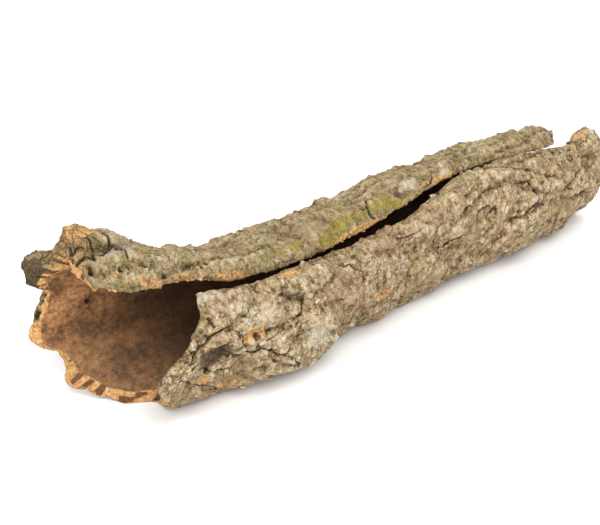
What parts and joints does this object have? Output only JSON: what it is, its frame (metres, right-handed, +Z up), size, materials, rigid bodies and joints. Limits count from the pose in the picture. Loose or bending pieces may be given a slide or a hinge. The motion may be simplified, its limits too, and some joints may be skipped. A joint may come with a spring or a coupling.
{
  "type": "cork bark tube",
  "caption": "Natural cork bark curled into an open-ended tube with a seam along the top, a flared broken mouth and a smooth brown hollow, lying on its side",
  "frame": {"origin": "bottom centre of the bounding box, on the surface that the tube lies on", "axes": "+X along the tube from its flared mouth to its narrower end, +Y towards the far wall, +Z up"},
  "size_m": [0.4962, 0.1378, 0.1422],
  "materials": {
    "bark": "rough furrowed cork bark, matt, pale grey-brown with lichen outside and smooth brown inside"
  },
  "bodies": {
    "root": {"bark_tube": "bark"}
  },
  "joints": []
}
